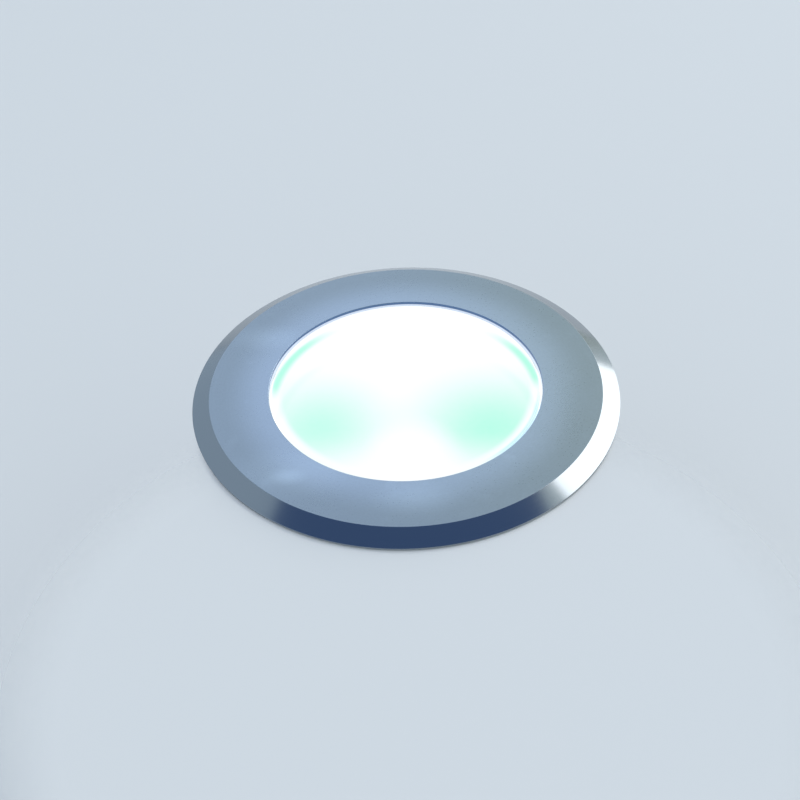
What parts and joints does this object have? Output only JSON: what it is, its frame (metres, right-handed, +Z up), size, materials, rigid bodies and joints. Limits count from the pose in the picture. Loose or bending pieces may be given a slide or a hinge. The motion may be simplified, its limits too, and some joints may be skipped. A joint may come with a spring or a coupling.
{
  "type": "recessed floor light",
  "caption": "Round recessed floor light: bevelled metal bezel, stepped glass over an LED reflector, finned housing with sprung side clips, cable gland and a plastic ground sleeve.",
  "frame": {"origin": "centre of the sleeve's underside, on the light's axis", "axes": "+Z up along the light's axis, +X through the right clip and the open cable entry"},
  "size_m": [0.08, 0.08, 0.0844],
  "materials": {
    "stainless": "turned and satin stainless steel",
    "cover_glass": "toughened, lightly frosted inside",
    "silicone": "moulded silicone",
    "gasket_rubber": "matte",
    "sleeve_plastic": "moulded polypropylene",
    "cast_aluminium": "die cast, fine shot blasted",
    "white_plastic": "moulded, satin",
    "clear_plastic": "polished acrylic",
    "led_emitter": "lit phosphor on a ceramic base",
    "led_board": "white solder mask",
    "thermal_pad": "matte silicone",
    "driver_board": "green solder mask",
    "ferrite": "sintered",
    "capacitor_can": "drawn can",
    "terminal_plastic": "moulded",
    "chip_plastic": "moulded",
    "red_insulation": "extruded",
    "black_insulation": "extruded",
    "nickel_brass": "nickel plated",
    "plated_steel": "zinc plated",
    "spring_steel": "rolled, bright"
  },
  "bodies": {
    "sleeve": {"mounting_sleeve": "sleeve_plastic", "entry_plug": "gasket_rubber"},
    "luminaire": {"front_ring": "stainless", "flange_gasket": "gasket_rubber", "cover_glass": "cover_glass", "glass_gasket": "silicone", "neck_o_ring": "gasket_rubber", "reflector": "white_plastic", "housing": "cast_aluminium", "thermal_pad": "thermal_pad", "led_board": "led_board", "led_board_screw_left": "plated_steel", "led_board_screw_right": "plated_steel", "led_emitter": "led_emitter", "lens_holder": "white_plastic", "lens": "clear_plastic", "driver_board": "driver_board", "driver_screw_left": "plated_steel", "driver_screw_right": "plated_steel", "driver_inductor": "ferrite", "driver_capacitor": "capacitor_can", "driver_terminal": "terminal_plastic", "driver_controller": "chip_plastic", "driver_rectifier": "chip_plastic", "led_lead_negative": "black_insulation", "led_lead_positive": "red_insulation", "rear_cover": "cast_aluminium", "rear_gasket": "gasket_rubber", "rear_cover_screw_1": "plated_steel", "rear_cover_screw_2": "plated_steel", "rear_cover_screw_3": "plated_steel", "rear_cover_screw_4": "plated_steel", "gland_body": "nickel_brass", "gland_nut": "nickel_brass", "gland_seal": "gasket_rubber", "left_clip_bracket": "plated_steel", "left_clip_screw_upper": "plated_steel", "left_clip_screw_lower": "plated_steel", "left_clip_pin": "plated_steel", "left_clip_spring": "spring_steel", "right_clip_bracket": "plated_steel", "right_clip_screw_upper": "plated_steel", "right_clip_screw_lower": "plated_steel", "right_clip_pin": "plated_steel", "right_clip_spring": "spring_steel"},
    "left_clip": {"left_clip_arm": "spring_steel", "left_clip_boot": "gasket_rubber"},
    "right_clip": {"right_clip_arm": "spring_steel", "right_clip_boot": "gasket_rubber"}
  },
  "joints": [
    {"name": "luminaire_lift", "type": "slide", "parent": "sleeve", "child": "luminaire", "axis": [0, 0, 1], "range_m": [0, 0.0584]},
    {"name": "left_clip_pivot", "type": "hinge", "parent": "luminaire", "child": "left_clip", "pos_m": [-0.02615, 0, 0.06173], "axis": [0, -1, 0], "range_deg": [0, 15], "stiffness_Nm_per_rad": 0.06, "springref_deg": -34.38, "deforming": ["left_clip_spring"]},
    {"name": "right_clip_pivot", "type": "hinge", "parent": "luminaire", "child": "right_clip", "pos_m": [0.02615, 0, 0.06173], "axis": [0, 1, 0], "range_deg": [0, 15], "stiffness_Nm_per_rad": 0.06, "springref_deg": -34.38, "deforming": ["right_clip_spring"]}
  ]
}
